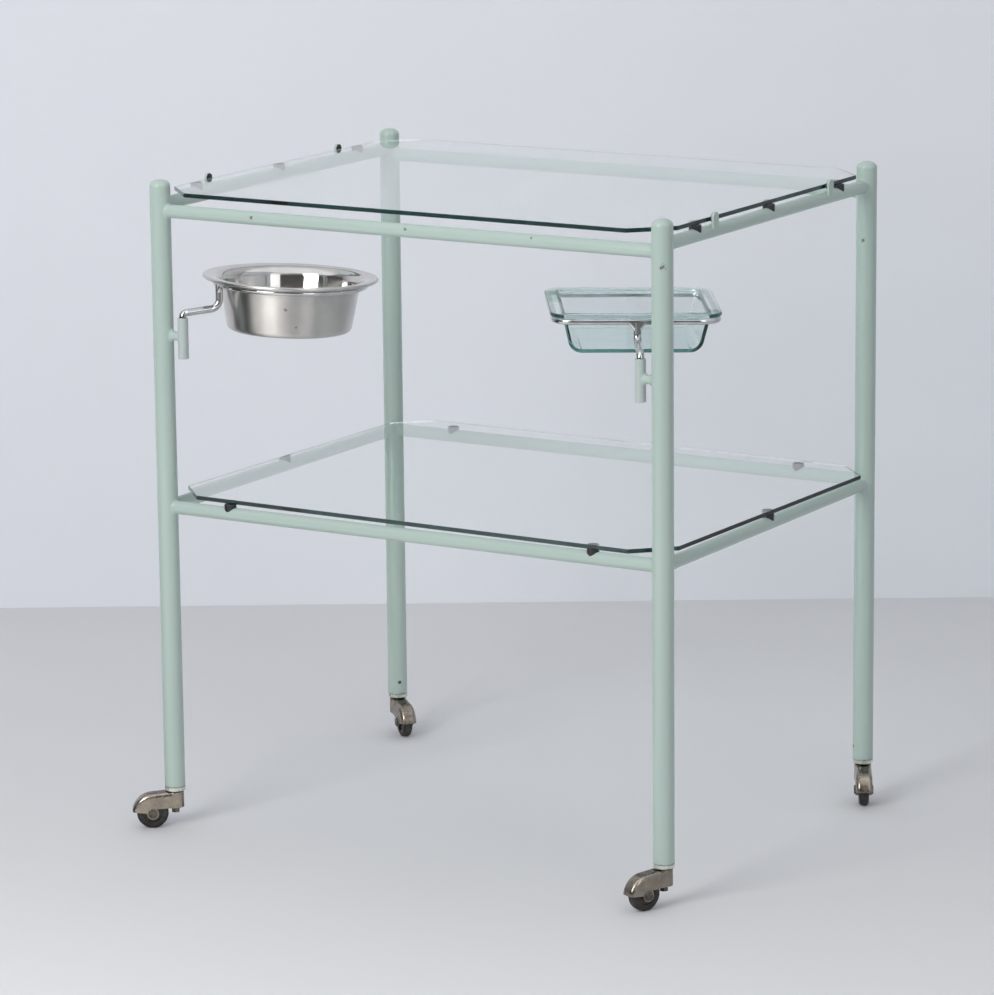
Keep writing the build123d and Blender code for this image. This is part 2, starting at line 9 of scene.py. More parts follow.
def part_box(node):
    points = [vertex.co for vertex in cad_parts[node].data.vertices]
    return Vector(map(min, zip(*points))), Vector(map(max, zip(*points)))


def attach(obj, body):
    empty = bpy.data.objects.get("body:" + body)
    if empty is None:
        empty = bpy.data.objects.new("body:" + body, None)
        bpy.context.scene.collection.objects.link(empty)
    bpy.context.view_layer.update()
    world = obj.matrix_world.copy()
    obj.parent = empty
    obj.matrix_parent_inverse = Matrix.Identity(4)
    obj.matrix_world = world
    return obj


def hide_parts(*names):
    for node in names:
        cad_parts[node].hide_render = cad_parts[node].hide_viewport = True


bl_info = {
    "name": "Medical trolley finishes",
    "version": (1, 0, 0),
    "blender": (4, 5, 0),
    "location": "3D View > Sidebar > Trolley",
    "description": "Paints, polishes and glazes the trolley, and sets its stage and camera",
    "category": "Object",
}

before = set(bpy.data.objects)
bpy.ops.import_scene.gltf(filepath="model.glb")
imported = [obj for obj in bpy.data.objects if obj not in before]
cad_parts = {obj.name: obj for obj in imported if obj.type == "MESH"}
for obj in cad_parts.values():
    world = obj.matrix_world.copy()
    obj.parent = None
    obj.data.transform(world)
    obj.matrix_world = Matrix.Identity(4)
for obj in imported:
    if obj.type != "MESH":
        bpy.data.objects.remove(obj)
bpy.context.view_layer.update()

# Nodes of the frame, by finish
CORNERS = ("front_left", "front_right", "back_left", "back_right")
SIDES = ("front", "back", "left", "right")
LEGS = [f"leg_{corner}" for corner in CORNERS]
RAILS = [f"{level}_rail_{side}" for level in ("top", "low") for side in SIDES]
FITTINGS = ["glass_stops", "socket_stubs"]
SOCKETS = ["holder_socket_left", "holder_socket_right"]
PANES = ["top_glass", "low_glass"]
PADS = ["top_glass_pads", "low_glass_pads"]
RODS = ["basin_arm", "basin_ring", "dish_arm", "dish_frame"]
HOODS = [f"castor_hood_{corner}" for corner in CORNERS]
HUBS = [f"wheel_hub_{corner}" for corner in CORNERS]
TYRES = [f"tyre_{corner}" for corner in CORNERS]
DARK_STEEL = ["grub_screws", "kingpins", "kingpin_nuts", "thrust_washers"]
DARK_STEEL += [f"wheel_axle_{corner}" for corner in CORNERS]

QUARTER_TURN = math.radians(90)

# Turned pieces: steps round the axis, and the angle from which an edge stays sharp
TURN_STEPS = 64
SHARP_FROM = math.radians(40)

# Leg end caps: dome, plug and steps up the dome
CAP_RADIUS = 0.0125
CAP_DOME = 0.008
PLUG_RADIUS = 0.01095
DOME_STEPS = 14

# Buffers on the glass stops: a button, and a thin facing that sits higher on the lug
BUFFER_LENGTH = 0.0032
BUTTON_RADIUS = 0.004
BUTTON_ROUND = 0.0006
FACING_RADIUS = 0.0058
FACING_LENGTH = 0.0008
FACING_RISE = 0.002

# Paint chips: where each lies on the tubes, and how wide it is
CHIPS = (
    ((-0.2053, -0.2649, 0.7617), 0.0020),
    ((0.0070, -0.2644, 0.7636), 0.0016),
    ((0.1744, -0.2637, 0.7649), 0.0012),
    ((0.3466, -0.2676, 0.7452), 0.0022),
    ((0.3448, -0.2681, 0.7438), 0.0016),
    ((0.3416, 0.2446, 0.7034), 0.0020),
)

# Marks are ragged: the distance from their middle is stretched by this much
RAGGED = (0.5, 1.7)

# Steel of the worn leg ends: its tint, how matt it is and how ragged the paint ends above it
WORN_STEEL = (0.24, 0.27, 0.245, 1)
BARE_ROUGHNESS = 0.45
FRAY = 0.0005

# Dark marks on the basin's side, and how wide each is
BASIN_MARKS = (
    ((-0.1907, -0.2174, 0.6462), 0.0018),
    ((-0.1826, -0.2081, 0.6244), 0.0013),
)

# Basin: spun rings, close together in height and long round the side, and how softly inside turns to outside
RING_SCALE = (10.0, 10.0, 900.0)
RIM_BLUR = 0.02

# Plating: how matt pits are on the rods and how deep on the hoods, and where hoods face up enough to take a
# painted dark reflection on top
PIT_ROUGHNESS = 0.5
PIT_DEPTH = 0.6
DARK_TOP_SPAN = (0.88, 0.98)

# Glass: a pane counts as cut edge where it faces up or down less than this, and what lamps send through glass
EDGE_TILT = 0.6
GLASS_SHADOW = (0.93, 0.95, 0.945, 1)

# Takes the height out of a vector
LEVEL = (1, 1, 0)

# Stage: its size, and how often light bounces so that it gets through the long way of a pane
STAGE_SIZE = 14.0
BOUNCES = 24

# Lamps: name, setting with the power, place, aim, width and height
LAMPS = (
    ("left_light", "left_power", (-0.35, -2.75, 1.75), (0, 0, 0.6), 1.25, 1.5),
    ("right_light", "right_power", (2.6, -1.75, 1.5), (0, 0, 0.6), 1.0, 1.5),
    ("ceiling_light", "ceiling_power", (0, -0.3, 3.2), (0, 0, 0), 5.0, 5.0),
)

# Floor: painted light that makes it paler towards the camera; for reflections, a painted dark and a painted
# bright, glowing wedge that spread from below the basin
TO_CAMERA = (0.51, -0.86, 0)
FRONT_LIGHT_SPAN = (-0.1, 1.0)
FRONT_LIGHT_GAIN = 1.13
BELOW_BASIN = (-0.23, -0.15, 0)
DIM_FLOOR_WAY = (-0.914, -0.407, 0)
DIM_FLOOR_SPAN = (0.875, 0.95)
DIM_FLOOR = 0.05
FAR_SPAN = (2.0, 3.0)
FAR_DIMMING = 0.6
LIT_FLOOR_WAY = (-0.12, -0.99, 0)
LIT_FLOOR_SPAN = (0.72, 0.97)
LIT_FLOOR = (1, 1, 0.98, 1)
LIT_GLOW = (1, 0.98, 0.95, 1)
LIT_STRENGTH = 0.17

# Room: the light it gives, and what is seen of it
ROOM_LIGHT = (0.93, 0.96, 1.0, 1)
ROOM_TONE = (0.64, 0.67, 0.72, 1)

# Dim ends of the room in reflections: the middle of each, and how near to it the dimming starts and is full
DIM_TONE = (0.10, 0.10, 0.10, 1)
DIM_ENDS = (
    ((0.10, -0.99, 0.1), 0.47, 0.77),
    ((-0.77, -0.64, 0.05), 0.80, 0.90),
)

# Windows in reflections, above the lamps: bearing and half width of each, and how softly sills and sides end
WINDOW_TONE = (1.9, 1.9, 1.85, 1)
WINDOWS = (
    (math.radians(-92.6), math.radians(13.0)),
    (math.radians(-29.5), math.radians(8.7)),
)
SILL = (0.40, 0.46)
SIDE_BLUR = 0.01

# Camera: width of its sensor in millimetres, and how far it sees
SENSOR = 36.0
FAR_CLIP = 50.0

# Options shared by the colour settings, and by the length settings
COLOUR = {"subtype": "COLOR", "min": 0, "max": 1}
LENGTH = {"unit": "LENGTH", "min": 0}


# Settings

class PaintSettings(bpy.types.PropertyGroup):
    """Mint enamel of the tubes"""

    colour: bpy.props.FloatVectorProperty(
        name="Enamel", description="Colour of the paint", default=(0.45, 0.552, 0.505), **COLOUR
    )
    socket_colour: bpy.props.FloatVectorProperty(
        name="Sockets",
        description="Greyer paint of the holder sockets",
        default=(0.475, 0.541, 0.523),
        **COLOUR,
    )
    chip_colour: bpy.props.FloatVectorProperty(
        name="Chips", description="Dark steel under chipped paint", default=(0.17, 0.145, 0.12), **COLOUR
    )
    roughness: bpy.props.FloatProperty(
        name="Roughness", description="How matt the paint is", subtype="FACTOR", default=0.17, min=0, max=1
    )
    peel: bpy.props.FloatProperty(
        name="Peel", description="Depth of the brushed ripple in the paint", default=0.00012, **LENGTH
    )
    worn_to: bpy.props.FloatProperty(
        name="Worn to", description="Height up to which the leg ends are worn bare", default=0.0526, **LENGTH
    )


class MetalSettings(bpy.types.PropertyGroup):
    """Chrome, stainless steel and nickel"""

    chrome: bpy.props.FloatVectorProperty(
        name="Chrome", description="Tint of the plated rods", default=(0.60, 0.605, 0.61), **COLOUR
    )
    basin: bpy.props.FloatVectorProperty(
        name="Basin", description="Tint of the stainless basin", default=(0.64, 0.615, 0.59), **COLOUR
    )
    ferrule: bpy.props.FloatVectorProperty(
        name="Ferrules", description="Tint of the leg ferrules", default=(0.68, 0.70, 0.63), **COLOUR
    )
    nickel: bpy.props.FloatVectorProperty(
        name="Nickel", description="Tint of the castor hoods", default=(0.305, 0.265, 0.222), **COLOUR
    )
    dark_steel: bpy.props.FloatVectorProperty(
        name="Dark steel", description="Tint of pins, nuts and screws", default=(0.13, 0.115, 0.10), **COLOUR
    )


class GlassSettings(bpy.types.PropertyGroup):
    """Shelf panes and moulded dish"""

    face: bpy.props.FloatVectorProperty(
        name="Face", description="Tint of a pane's faces", default=(0.985, 0.995, 0.99), **COLOUR
    )
    edge: bpy.props.FloatVectorProperty(
        name="Edge", description="Tint of a pane's cut edge", default=(0.48, 0.68, 0.66), **COLOUR
    )
    pane_depth: bpy.props.FloatVectorProperty(
        name="Pane depth",
        description="What the panes let through along their length",
        default=(0.0, 0.34, 0.31),
        **COLOUR,
    )
    pane_density: bpy.props.FloatProperty(
        name="Pane density", description="How fast the panes darken, per metre", default=5.7, min=0
    )
    dish: bpy.props.FloatVectorProperty(
        name="Dish", description="Tint of the dish's skin", default=(0.96, 0.985, 0.98), **COLOUR
    )
    dish_base: bpy.props.FloatVectorProperty(
        name="Dish base", description="Deeper tint of the thick base", default=(0.66, 0.76, 0.75), **COLOUR
    )
    base_rise: bpy.props.FloatProperty(
        name="Base rise", description="Height over which the base's tint fades", default=0.005, **LENGTH
    )
    dish_depth: bpy.props.FloatVectorProperty(
        name="Dish depth",
        description="What the dish lets through along its walls",
        default=(0.0, 0.45, 0.40),
        **COLOUR,
    )
    dish_density: bpy.props.FloatProperty(
        name="Dish density", description="How fast the dish darkens, per metre", default=14.5, min=0
    )


class RubberSettings(bpy.types.PropertyGroup):
    """Tyres, wheel discs and pads"""

    tyre: bpy.props.FloatVectorProperty(
        name="Tyres", description="Colour of the tyres", default=(0.017, 0.015, 0.014), **COLOUR
    )
    hub: bpy.props.FloatVectorProperty(
        name="Discs", description="Colour of the wheel discs", default=(0.034, 0.024, 0.020), **COLOUR
    )
    pad: bpy.props.FloatVectorProperty(
        name="Pads", description="Colour of the glass pads", default=(0.016, 0.017, 0.017), **COLOUR
    )


class StageSettings(bpy.types.PropertyGroup):
    """Floor, wall, lamps and room light"""

    floor: bpy.props.FloatVectorProperty(
        name="Floor", description="Colour of the floor", default=(0.69, 0.69, 0.705), **COLOUR
    )
    wall: bpy.props.FloatVectorProperty(
        name="Wall", description="Colour of the wall", default=(0.86, 0.875, 0.92), **COLOUR
    )
    wall_gap: bpy.props.FloatProperty(
        name="Wall gap",
        description="From the trolley's middle to the wall",
        unit="LENGTH",
        default=1.113,
        min=0.5,
    )
    wall_turn: bpy.props.FloatProperty(
        name="Wall turn",
        description="Turn of the wall from the trolley's long side",
        subtype="ANGLE",
        default=math.radians(31.04),
    )
    left_power: bpy.props.FloatProperty(
        name="Left light", description="Power of the large lamp on the left", unit="POWER", default=42, min=0
    )
    right_power: bpy.props.FloatProperty(
        name="Right light", description="Power of the tall lamp on the right", unit="POWER", default=7, min=0
    )
    ceiling_power: bpy.props.FloatProperty(
        name="Ceiling light", description="Power of the lamp overhead", unit="POWER", default=41, min=0
    )
    room: bpy.props.FloatProperty(
        name="Room light", description="Strength of the light from all round", default=0.34, min=0
    )


class CameraSettings(bpy.types.PropertyGroup):
    """Where the photograph was taken from"""

    place: bpy.props.FloatVectorProperty(
        name="Place",
        description="Where the camera stands",
        subtype="TRANSLATION",
        unit="LENGTH",
        default=(2.76698, -4.68554, 1.56702),
    )
    azimuth: bpy.props.FloatProperty(
        name="Azimuth", description="Turn round the trolley", subtype="ANGLE", default=math.radians(30.847)
    )
    elevation: bpy.props.FloatProperty(
        name="Elevation", description="How far it looks down", subtype="ANGLE", default=math.radians(12.133)
    )
    roll: bpy.props.FloatProperty(
        name="Roll", description="Lean of the camera", subtype="ANGLE", default=math.radians(-0.589)
    )
    lens: bpy.props.FloatProperty(
        name="Lens", description="Focal length in millimetres", unit="CAMERA", default=165.67, min=1
    )


# Shader building

def put(tree, kind, inputs=None, **settings):
    """Adds a node, and sets its inputs from values or links them to other nodes' sockets"""
    node = tree.nodes.new(kind)
    for name, value in settings.items():
        setattr(node, name, value)
    for key, value in (inputs or {}).items():
        if isinstance(value, bpy.types.NodeSocket):
            tree.links.new(value, node.inputs[key])
        else:
            node.inputs[key].default_value = value
    return node


def sums(tree, operation, a, b=None):
    """A Math node's result"""
    values = {0: a} if b is None else {0: a, 1: b}
    return put(tree, "ShaderNodeMath", values, operation=operation).outputs[0]


def vector_sums(tree, operation, a, b=None):
    """A Vector Math node's result: a number for dot products, distances and lengths, or else a vector"""
    values = {0: a} if b is None else {0: a, 1: b}
    node = put(tree, "ShaderNodeVectorMath", values, operation=operation)
    return node.outputs["Value" if operation in ("DOT_PRODUCT", "DISTANCE", "LENGTH") else "Vector"]


def rise_of(tree, vector):
    """The upward part of a vector"""
    return put(tree, "ShaderNodeSeparateXYZ", {0: vector}).outputs["Z"]


def upward(tree):
    """How far a surface faces up"""
    return rise_of(tree, put(tree, "ShaderNodeNewGeometry").outputs["Normal"])


def blended(tree, mask, a, b):
    """Colour a turning into colour b where the mask is 1"""
    return put(tree, "ShaderNodeMix", {0: mask, 6: a, 7: b}, data_type="RGBA").outputs[2]


def stretched(tree, value, low, high, to_low=0.0, to_high=1.0):
    """A value mapped smoothly from one range onto another"""
    inputs = {"Value": value, "From Min": low, "From Max": high, "To Min": to_low, "To Max": to_high}
    return put(tree, "ShaderNodeMapRange", inputs, interpolation_type="SMOOTHSTEP").outputs["Result"]


def noise(tree, spot, scale, detail=3.0, roughness=0.55):
    """A noise value between 0 and 1"""
    inputs = {"Vector": spot, "Scale": scale, "Detail": detail, "Roughness": roughness}
    return put(tree, "ShaderNodeTexNoise", inputs).outputs["Fac"]


def rgba(colour, gain=1.0):
    """A colour with its alpha, made lighter or darker"""
    return (colour[0] * gain, colour[1] * gain, colour[2] * gain, 1.0)


def new_group(name, inputs, outputs):
    """An empty shader group with named sockets, and its inner input and output nodes"""
    group = bpy.data.node_groups.new(name, "ShaderNodeTree")
    for socket, kind, value in inputs:
        made = group.interface.new_socket(socket, in_out="INPUT", socket_type=kind)
        if value is not None:
            made.default_value = value
    for socket, kind in outputs:
        group.interface.new_socket(socket, in_out="OUTPUT", socket_type=kind)
    return group, group.nodes.new("NodeGroupInput"), group.nodes.new("NodeGroupOutput")


def drift_group():
    """Slow uneven tone, as in old paint or tarnished plating"""
    name = "Uneven tone"
    if name in bpy.data.node_groups:
        return bpy.data.node_groups[name]
    sockets = [
        ("Vector", "NodeSocketVector", None),
        ("Light", "NodeSocketColor", (0.8, 0.8, 0.8, 1)),
        ("Dark", "NodeSocketColor", (0.6, 0.6, 0.6, 1)),
        ("Scale", "NodeSocketFloat", 8.0),
    ]
    group, start, end = new_group(name, sockets, [("Colour", "NodeSocketColor")])
    broad = noise(group, start.outputs["Vector"], start.outputs["Scale"], detail=4.0)
    mask = stretched(group, broad, 0.3, 0.72)
    group.links.new(blended(group, mask, start.outputs["Light"], start.outputs["Dark"]), end.inputs["Colour"])
    return group


def smear_group():
    """Gloss that changes where a surface was handled or wiped"""
    name = "Wiped gloss"
    if name in bpy.data.node_groups:
        return bpy.data.node_groups[name]
    sockets = [
        ("Vector", "NodeSocketVector", None),
        ("Scale", "NodeSocketFloat", 20.0),
        ("Smooth", "NodeSocketFloat", 0.1),
        ("Matt", "NodeSocketFloat", 0.3),
    ]
    group, start, end = new_group(name, sockets, [("Roughness", "NodeSocketFloat")])
    smear = noise(group, start.outputs["Vector"], start.outputs["Scale"], detail=5.0, roughness=0.6)
    value = stretched(group, smear, 0.35, 0.7, start.outputs["Smooth"], start.outputs["Matt"])
    group.links.new(value, end.inputs["Roughness"])
    return group


def speck_group():
    """Scattered small round marks"""
    name = "Specks"
    if name in bpy.data.node_groups:
        return bpy.data.node_groups[name]
    sockets = [
        ("Vector", "NodeSocketVector", None),
        ("Scale", "NodeSocketFloat", 150.0),
        ("Size", "NodeSocketFloat", 0.12),
        ("Rarity", "NodeSocketFloat", 0.6),
    ]
    group, start, end = new_group(name, sockets, [("Mask", "NodeSocketFloat")])
    inputs = {"Vector": start.outputs["Vector"], "Scale": start.outputs["Scale"]}
    cells = put(group, "ShaderNodeTexVoronoi", inputs)
    near = sums(group, "LESS_THAN", cells.outputs["Distance"], start.outputs["Size"])
    pick = put(group, "ShaderNodeSeparateColor", {0: cells.outputs["Color"]})
    chosen = sums(group, "GREATER_THAN", pick.outputs[0], start.outputs["Rarity"])
    group.links.new(sums(group, "MULTIPLY", near, chosen), end.inputs["Mask"])
    return group


def use(tree, group, inputs):
    """A group placed in a material"""
    return put(tree, "ShaderNodeGroup", inputs, node_tree=group).outputs[0]


def toned(tree, spot, colour, light, dark, scale):
    """A colour that drifts between a lighter and a darker shade"""
    inputs = {"Vector": spot, "Light": rgba(colour, light), "Dark": rgba(colour, dark), "Scale": scale}
    return use(tree, drift_group(), inputs)


def smeared(tree, spot, scale, smooth, matt):
    """A roughness that drifts between smooth and matt"""
    return use(tree, smear_group(), {"Vector": spot, "Scale": scale, "Smooth": smooth, "Matt": matt})


def specked(tree, spot, scale, size, rarity):
    """A mask of scattered specks"""
    return use(tree, speck_group(), {"Vector": spot, "Scale": scale, "Size": size, "Rarity": rarity})


def marked(tree, spot, places):
    """A mask of ragged marks at given places"""
    jitter = stretched(tree, noise(tree, spot, 600.0, detail=2.0), 0.3, 0.7, *RAGGED)
    mask = 0.0
    for place, size in places:
        apart = sums(tree, "MULTIPLY", vector_sums(tree, "DISTANCE", spot, place), jitter)
        mask = sums(tree, "MAXIMUM", mask, sums(tree, "LESS_THAN", apart, size))
    return mask


def bumped(tree, height, depth, strength):
    """A normal from a height value"""
    inputs = {"Height": height, "Distance": depth, "Strength": strength}
    return put(tree, "ShaderNodeBump", inputs).outputs["Normal"]


def new_material(name):
    """A material with a Principled shader, and its object coordinates"""
    material = bpy.data.materials.new(name)
    material.use_nodes = True
    tree = material.node_tree
    tree.nodes.clear()
    shader = tree.nodes.new("ShaderNodeBsdfPrincipled")
    output = tree.nodes.new("ShaderNodeOutputMaterial")
    tree.links.new(shader.outputs["BSDF"], output.inputs["Surface"])
    spot = put(tree, "ShaderNodeTexCoord").outputs["Object"]
    return material, tree, shader, spot


def wire(tree, shader, **sockets):
    """Sets or links the shader's own sockets; their names' spaces are underscores"""
    for key, value in sockets.items():
        socket = shader.inputs[key.replace("_", " ")]
        if isinstance(value, bpy.types.NodeSocket):
            tree.links.new(value, socket)
        else:
            socket.default_value = value


def clear_where(tree, mask, shader, tint):
    """Makes a material clear where the mask is 1, and gives its output node"""
    output = next(node for node in tree.nodes if node.type == "OUTPUT_MATERIAL")
    clear = put(tree, "ShaderNodeBsdfTransparent", {"Color": tint})
    mix = put(tree, "ShaderNodeMixShader", {0: mask, 1: shader.outputs[0], 2: clear.outputs[0]})
    tree.links.new(mix.outputs[0], output.inputs["Surface"])
    return output


def fill_glass(tree, shader, depth, density):
    """Lets lamps shine through glass with only a faint shadow, and tints it by its depth"""
    shadow = put(tree, "ShaderNodeLightPath").outputs["Is Shadow Ray"]
    output = clear_where(tree, shadow, shader, GLASS_SHADOW)
    inside = put(tree, "ShaderNodeVolumeAbsorption", {"Color": rgba(depth), "Density": density})
    tree.links.new(inside.outputs[0], output.inputs["Volume"])


def worn_finish(name, colour, shades, drift, gloss, wipe, grain, depth=0.0002, detail=2.0, metallic=0.0):
    """A worn surface: drifting tone, wiped gloss and a fine grain, with the scale of each"""
    material, tree, shader, spot = new_material(name)
    wire(
        tree, shader,
        Base_Color=toned(tree, spot, colour, *shades, drift),
        Metallic=metallic,
        Roughness=smeared(tree, spot, wipe, *gloss),
        Normal=bumped(tree, noise(tree, spot, grain, detail), depth, strength=0.4),
    )
    return material


# Putting finishes and shapes on nodes

def dress(material, nodes):
    """Gives CAD nodes a material"""
    for name in nodes:
        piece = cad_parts[name]
        piece.data.materials.clear()
        piece.data.materials.append(material)


def turned(points, faces, profile, place):
    """Adds a solid turned about an axis, from a profile that starts and ends on that axis"""
    first = len(points)
    points.append(place @ Vector((0, 0, profile[0][1])))
    for radius, height in profile[1:-1]:
        for step in range(TURN_STEPS):
            angle = math.tau * step / TURN_STEPS
            points.append(place @ Vector((radius * math.cos(angle), radius * math.sin(angle), height)))
    points.append(place @ Vector((0, 0, profile[-1][1])))
    last = len(points) - 1
    rings = [first + 1 + row * TURN_STEPS for row in range(len(profile) - 2)]
    for step in range(TURN_STEPS):
        beside = (step + 1) % TURN_STEPS
        faces.append((first, rings[0] + beside, rings[0] + step))
        for low, high in zip(rings, rings[1:]):
            faces.append((low + step, low + beside, high + beside, high + step))
        faces.append((rings[-1] + step, rings[-1] + beside, last))


def stand_in(name, points, faces, material, node):
    """A piece of the frame made from points and faces, in place of a CAD node"""
    mesh = bpy.data.meshes.new(name)
    mesh.from_pydata(points, [], faces)
    mesh.shade_smooth()
    mesh.set_sharp_from_angle(angle=SHARP_FROM)
    mesh.materials.append(material)
    piece = bpy.data.objects.new(name, mesh)
    bpy.context.collection.objects.link(piece)
    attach(piece, "frame")
    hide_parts(node)


# Pieces

class TROLLEY_OT_paint_frame(bpy.types.Operator):
    """Paints the legs, rails, lugs and sockets in mint enamel, with chips and worn leg ends"""

    bl_idname = "trolley.paint_frame"
    bl_label = "Paint the frame"

    def execute(self, context):
        look = context.scene.trolley_paint
        mint = self.enamel("mint_enamel", look, look.colour)
        dress(mint, LEGS + RAILS + FITTINGS)
        dress(self.enamel("socket_enamel", look, look.socket_colour), SOCKETS)
        self.caps(mint)
        return {"FINISHED"}

    def enamel(self, name, look, colour):
        """Brushed enamel of one colour"""
        material, tree, shader, spot = new_material(name)
        tone = toned(tree, spot, colour, light=1.0, dark=0.98, scale=9.0)
        specks = specked(tree, spot, scale=85.0, size=0.035, rarity=0.93)
        chipped = sums(tree, "MAXIMUM", marked(tree, spot, CHIPS), specks)
        fray = stretched(tree, noise(tree, spot, 140.0), 0.3, 0.7, -FRAY, FRAY)
        worn = sums(tree, "LESS_THAN", sums(tree, "ADD", rise_of(tree, spot), fray), look.worn_to)
        bare = sums(tree, "MAXIMUM", chipped, worn)
        steel = blended(tree, worn, rgba(look.chip_colour), WORN_STEEL)
        gloss = smeared(tree, spot, scale=12.0, smooth=look.roughness - 0.02, matt=look.roughness + 0.03)
        sunk = sums(tree, "SUBTRACT", noise(tree, spot, 90.0, detail=1.0), bare)
        wire(
            tree, shader,
            Base_Color=blended(tree, bare, tone, steel),
            Roughness=sums(tree, "MAXIMUM", gloss, sums(tree, "MULTIPLY", bare, BARE_ROUGHNESS)),
            Normal=bumped(tree, sunk, look.peel, strength=0.35),
        )
        return material

    def caps(self, paint):
        """Smooth caps that run into the leg tubes without an edge"""
        low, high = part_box("leg_end_caps")
        seat = high.z - CAP_DOME
        profile = [(0, low.z), (PLUG_RADIUS, low.z), (PLUG_RADIUS, seat)]
        for step in range(DOME_STEPS):
            angle = QUARTER_TURN * step / DOME_STEPS
            profile.append((CAP_RADIUS * math.cos(angle), seat + CAP_DOME * math.sin(angle)))
        profile.append((0, high.z))
        half_x = high.x - CAP_RADIUS
        half_y = high.y - CAP_RADIUS
        points = []
        faces = []
        for x in (-half_x, half_x):
            for y in (-half_y, half_y):
                turned(points, faces, profile, Matrix.Translation((x, y, 0)))
        stand_in("smooth_leg_caps", points, faces, paint, "leg_end_caps")


class TROLLEY_OT_glaze_shelves(bpy.types.Operator):
    """Makes the two panes clear, with a dark green cut edge and faint wiping marks"""

    bl_idname = "trolley.glaze_shelves"
    bl_label = "Glaze the shelves"

    def execute(self, context):
        look = context.scene.trolley_glass
        material, tree, shader, spot = new_material("shelf_glass")
        edge = sums(tree, "LESS_THAN", sums(tree, "ABSOLUTE", upward(tree)), EDGE_TILT)
        wire(
            tree, shader,
            Base_Color=blended(tree, edge, rgba(look.face), rgba(look.edge)),
            Roughness=smeared(tree, spot, scale=7.0, smooth=0.0, matt=0.035),
            IOR=1.52,
            Transmission_Weight=1.0,
        )
        fill_glass(tree, shader, look.pane_depth, look.pane_density)
        dress(material, PANES)
        return {"FINISHED"}


class TROLLEY_OT_polish_rods(bpy.types.Operator):
    """Plates the basin and dish holders with chrome"""

    bl_idname = "trolley.polish_rods"
    bl_label = "Polish the holders"

    def execute(self, context):
        look = context.scene.trolley_metal
        material, tree, shader, spot = new_material("chrome_rod")
        tone = toned(tree, spot, look.chrome, light=1.08, dark=0.80, scale=40.0)
        pits = specked(tree, spot, scale=320.0, size=0.10, rarity=0.96)
        gloss = smeared(tree, spot, scale=60.0, smooth=0.06, matt=0.17)
        ripple = noise(tree, spot, 45.0, detail=1.0)
        wire(
            tree, shader,
            Base_Color=blended(tree, pits, tone, rgba(look.chrome, gain=0.35)),
            Metallic=1.0,
            Roughness=sums(tree, "MAXIMUM", gloss, sums(tree, "MULTIPLY", pits, PIT_ROUGHNESS)),
            Normal=bumped(tree, ripple, depth=0.00005, strength=0.3),
        )
        dress(material, RODS)
        return {"FINISHED"}


class TROLLEY_OT_finish_basin(bpy.types.Operator):
    """Gives the basin spun stainless steel with fine rings and small marks"""

    bl_idname = "trolley.finish_basin"
    bl_label = "Finish the basin"

    def execute(self, context):
        look = context.scene.trolley_metal
        material, tree, shader, spot = new_material("basin_steel")
        tone = toned(tree, spot, look.basin, light=1.04, dark=0.90, scale=26.0)
        marks = marked(tree, spot, BASIN_MARKS)
        polished = smeared(tree, spot, scale=35.0, smooth=0.08, matt=0.13)
        satin = smeared(tree, spot, scale=35.0, smooth=0.28, matt=0.36)
        gloss = stretched(tree, self.outside(tree, spot), 0.0, 1.0, polished, satin)
        rings = put(tree, "ShaderNodeMapping", {"Vector": spot, "Scale": RING_SCALE}).outputs["Vector"]
        wire(
            tree, shader,
            Base_Color=blended(tree, marks, tone, rgba(look.basin, gain=0.45)),
            Metallic=1.0,
            Roughness=gloss,
            Anisotropic=0.9,
            Anisotropic_Rotation=0.25,
            Normal=bumped(tree, noise(tree, rings, 1.0, detail=2.0), depth=0.00003, strength=0.3),
        )
        dress(material, ["basin"])
        return {"FINISHED"}

    def outside(self, tree, spot):
        """1 where the basin's surface faces away from its axis, and 0 inside"""
        low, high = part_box("basin")
        middle = (low + high) / 2
        outward = vector_sums(tree, "MULTIPLY", vector_sums(tree, "SUBTRACT", spot, tuple(middle)), LEVEL)
        normal = put(tree, "ShaderNodeTexCoord").outputs["Normal"]
        return stretched(tree, vector_sums(tree, "DOT_PRODUCT", outward, normal), -RIM_BLUR, RIM_BLUR)


class TROLLEY_OT_cast_dish(bpy.types.Operator):
    """Makes the moulded dish of pale green glass"""

    bl_idname = "trolley.cast_dish"
    bl_label = "Cast the dish"

    def execute(self, context):
        look = context.scene.trolley_glass
        material, tree, shader, spot = new_material("dish_glass")
        skin = toned(tree, spot, look.dish, light=1.0, dark=0.97, scale=22.0)
        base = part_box("dish")[0].z
        above = stretched(tree, rise_of(tree, spot), base + look.base_rise / 2, base + look.base_rise)
        wire(
            tree, shader,
            Base_Color=blended(tree, above, rgba(look.dish_base), skin),
            Roughness=smeared(tree, spot, scale=14.0, smooth=0.0, matt=0.05),
            IOR=1.5,
            Transmission_Weight=1.0,
            Normal=bumped(tree, noise(tree, spot, 30.0, detail=1.0), depth=0.0003, strength=0.4),
        )
        fill_glass(tree, shader, look.dish_depth, look.dish_density)
        dress(material, ["dish"])
        return {"FINISHED"}


